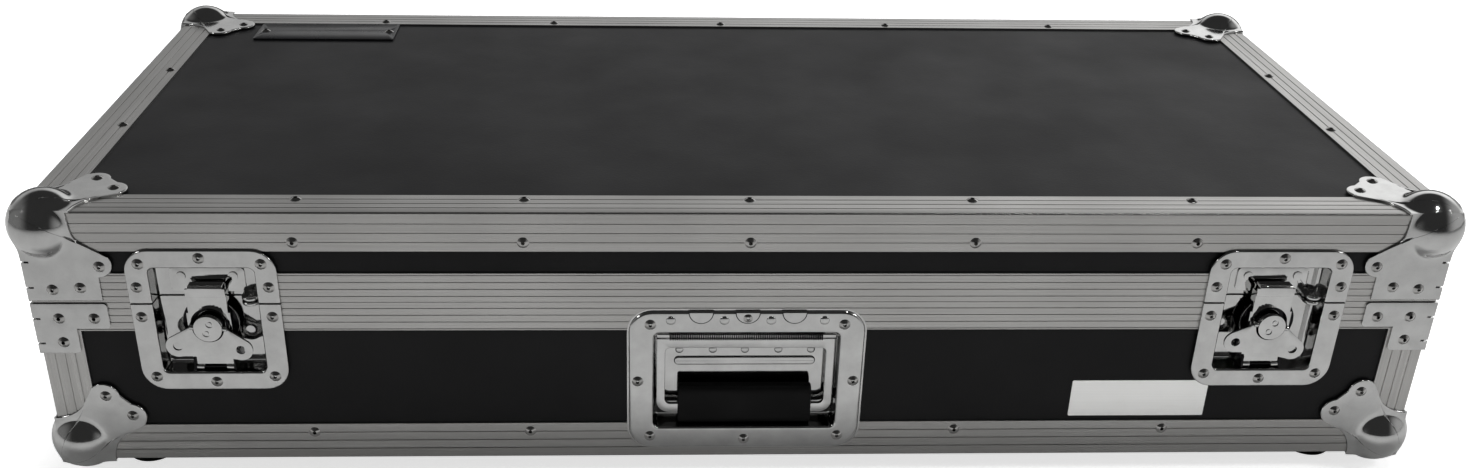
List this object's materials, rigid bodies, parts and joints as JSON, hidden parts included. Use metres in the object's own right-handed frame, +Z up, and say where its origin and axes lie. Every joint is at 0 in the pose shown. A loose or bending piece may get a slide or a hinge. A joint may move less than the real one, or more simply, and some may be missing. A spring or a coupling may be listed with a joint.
{
  "type": "guitar pedal case",
  "caption": "Black laminated flight case with ribbed aluminium edging, ball corners, butterfly latches, a sprung bail handle and a hinged lid over a lift-out pedal board.",
  "frame": {"origin": "centre of the case's footprint on the floor", "axes": "+X along the front to the right, -Y out of the front face with the latches, +Z up"},
  "size_m": [1.0378, 0.481, 0.2285],
  "materials": {
    "laminate": "black phenolic laminate on plywood, fine pebble texture",
    "aluminium": "mill finish extrusion with drawn lines",
    "corner_chrome": "bright zinc-nickel plated pressed steel",
    "latch_chrome": "bright plated steel",
    "rivet_steel": "plated blind rivets",
    "hinge_steel": "zinc plated steel",
    "rubber": "matt moulded black rubber",
    "foam": "charcoal open-cell foam",
    "timber": "bare birch plywood",
    "carpet": "grey loop carpet",
    "label": "bare silver foil label",
    "badge": "bare black badge plate"
  },
  "bodies": {
    "base": {"base_bottom_panel": "laminate", "base_front_panel": "laminate", "base_rear_panel": "laminate", "base_left_panel": "laminate", "base_right_panel": "laminate", "base_edge_front": "aluminium", "base_edge_rear": "aluminium", "base_edge_left": "aluminium", "base_edge_right": "aluminium", "base_corner_angles": "aluminium", "base_rim_front": "aluminium", "base_rim_rear": "aluminium", "base_rim_left": "aluminium", "base_rim_right": "aluminium", "base_ball_corners": "corner_chrome", "base_corner_braces": "corner_chrome", "rubber_feet": "rubber", "latch_left_lower_dish": "corner_chrome", "latch_right_lower_dish": "corner_chrome", "handle_dish": "corner_chrome", "handle_rod": "latch_chrome", "base_rivets": "rivet_steel", "hinge_base_leaves": "hinge_steel", "base_foam": "foam", "board_cleats": "timber", "front_label": "label"},
    "lid": {"lid_top_panel": "laminate", "lid_front_panel": "laminate", "lid_rear_panel": "laminate", "lid_left_panel": "laminate", "lid_right_panel": "laminate", "lid_edge_front": "aluminium", "lid_edge_rear": "aluminium", "lid_edge_left": "aluminium", "lid_edge_right": "aluminium", "lid_rim_front": "aluminium", "lid_rim_rear": "aluminium", "lid_rim_left": "aluminium", "lid_rim_right": "aluminium", "lid_ball_corners": "corner_chrome", "latch_left_upper_dish": "corner_chrome", "latch_right_upper_dish": "corner_chrome", "latch_strikes": "latch_chrome", "lid_rivets": "rivet_steel", "hinge_lid_leaves": "hinge_steel", "lid_foam": "foam", "badge_plate": "badge"},
    "left_hub": {"latch_left_hub": "latch_chrome"},
    "left_wing": {"latch_left_wing": "latch_chrome"},
    "left_driver": {"latch_left_driver": "latch_chrome"},
    "left_claw": {"latch_left_claw": "latch_chrome"},
    "right_hub": {"latch_right_hub": "latch_chrome"},
    "right_wing": {"latch_right_wing": "latch_chrome"},
    "right_driver": {"latch_right_driver": "latch_chrome"},
    "right_claw": {"latch_right_claw": "latch_chrome"},
    "bail": {"handle_bail": "latch_chrome", "handle_grip": "rubber"},
    "board": {"pedal_board": "timber", "pedal_board_carpet": "carpet"}
  },
  "joints": [
    {"name": "lid_hinge", "type": "hinge", "parent": "base", "child": "lid", "pos_m": [0, 0.2347, 0.147], "axis": [-1, 0, 0], "range_deg": [0, 100]},
    {"name": "latch_left_turn", "type": "hinge", "parent": "base", "child": "left_hub", "pos_m": [-0.3866, -0.218, 0.1282], "axis": [0, -1, 0], "range_deg": [0, 180]},
    {"name": "latch_left_wing_fold", "type": "hinge", "parent": "left_hub", "child": "left_wing", "pos_m": [-0.3866, -0.233, 0.1282], "axis": [-0.9976, 0, 0.0698], "range_deg": [0, 90]},
    {"name": "latch_left_drive", "type": "slide", "parent": "base", "child": "left_driver", "axis": [0, 0, 1], "range_m": [0, 0.008]},
    {"name": "latch_left_claw_tilt", "type": "hinge", "parent": "left_driver", "child": "left_claw", "pos_m": [-0.3866, -0.228, 0.0938], "axis": [1, 0, 0], "range_deg": [-1.5, 1.5]},
    {"name": "latch_right_turn", "type": "hinge", "parent": "base", "child": "right_hub", "pos_m": [0.3866, -0.218, 0.1282], "axis": [0, -1, 0], "range_deg": [0, 180]},
    {"name": "latch_right_wing_fold", "type": "hinge", "parent": "right_hub", "child": "right_wing", "pos_m": [0.3866, -0.233, 0.1282], "axis": [-0.9903, 0, 0.1392], "range_deg": [0, 90]},
    {"name": "latch_right_drive", "type": "slide", "parent": "base", "child": "right_driver", "axis": [0, 0, 1], "range_m": [0, 0.008]},
    {"name": "latch_right_claw_tilt", "type": "hinge", "parent": "right_driver", "child": "right_claw", "pos_m": [0.3866, -0.228, 0.0938], "axis": [1, 0, 0], "range_deg": [-1.5, 1.5]},
    {"name": "handle_swing", "type": "hinge", "parent": "base", "child": "bail", "pos_m": [0, -0.2235, 0.1175], "axis": [-1, 0, 0], "range_deg": [0, 95], "stiffness_Nm_per_rad": 0.15},
    {"name": "board_lift", "type": "slide", "parent": "base", "child": "board", "axis": [0, 0, 1], "range_m": [0, 0.1]}
  ],
  "couplings": [
    {"joint": "latch_left_drive", "follows": "latch_left_turn", "m_per_rad": 0.002546},
    {"joint": "latch_right_drive", "follows": "latch_right_turn", "m_per_rad": 0.002546}
  ]
}
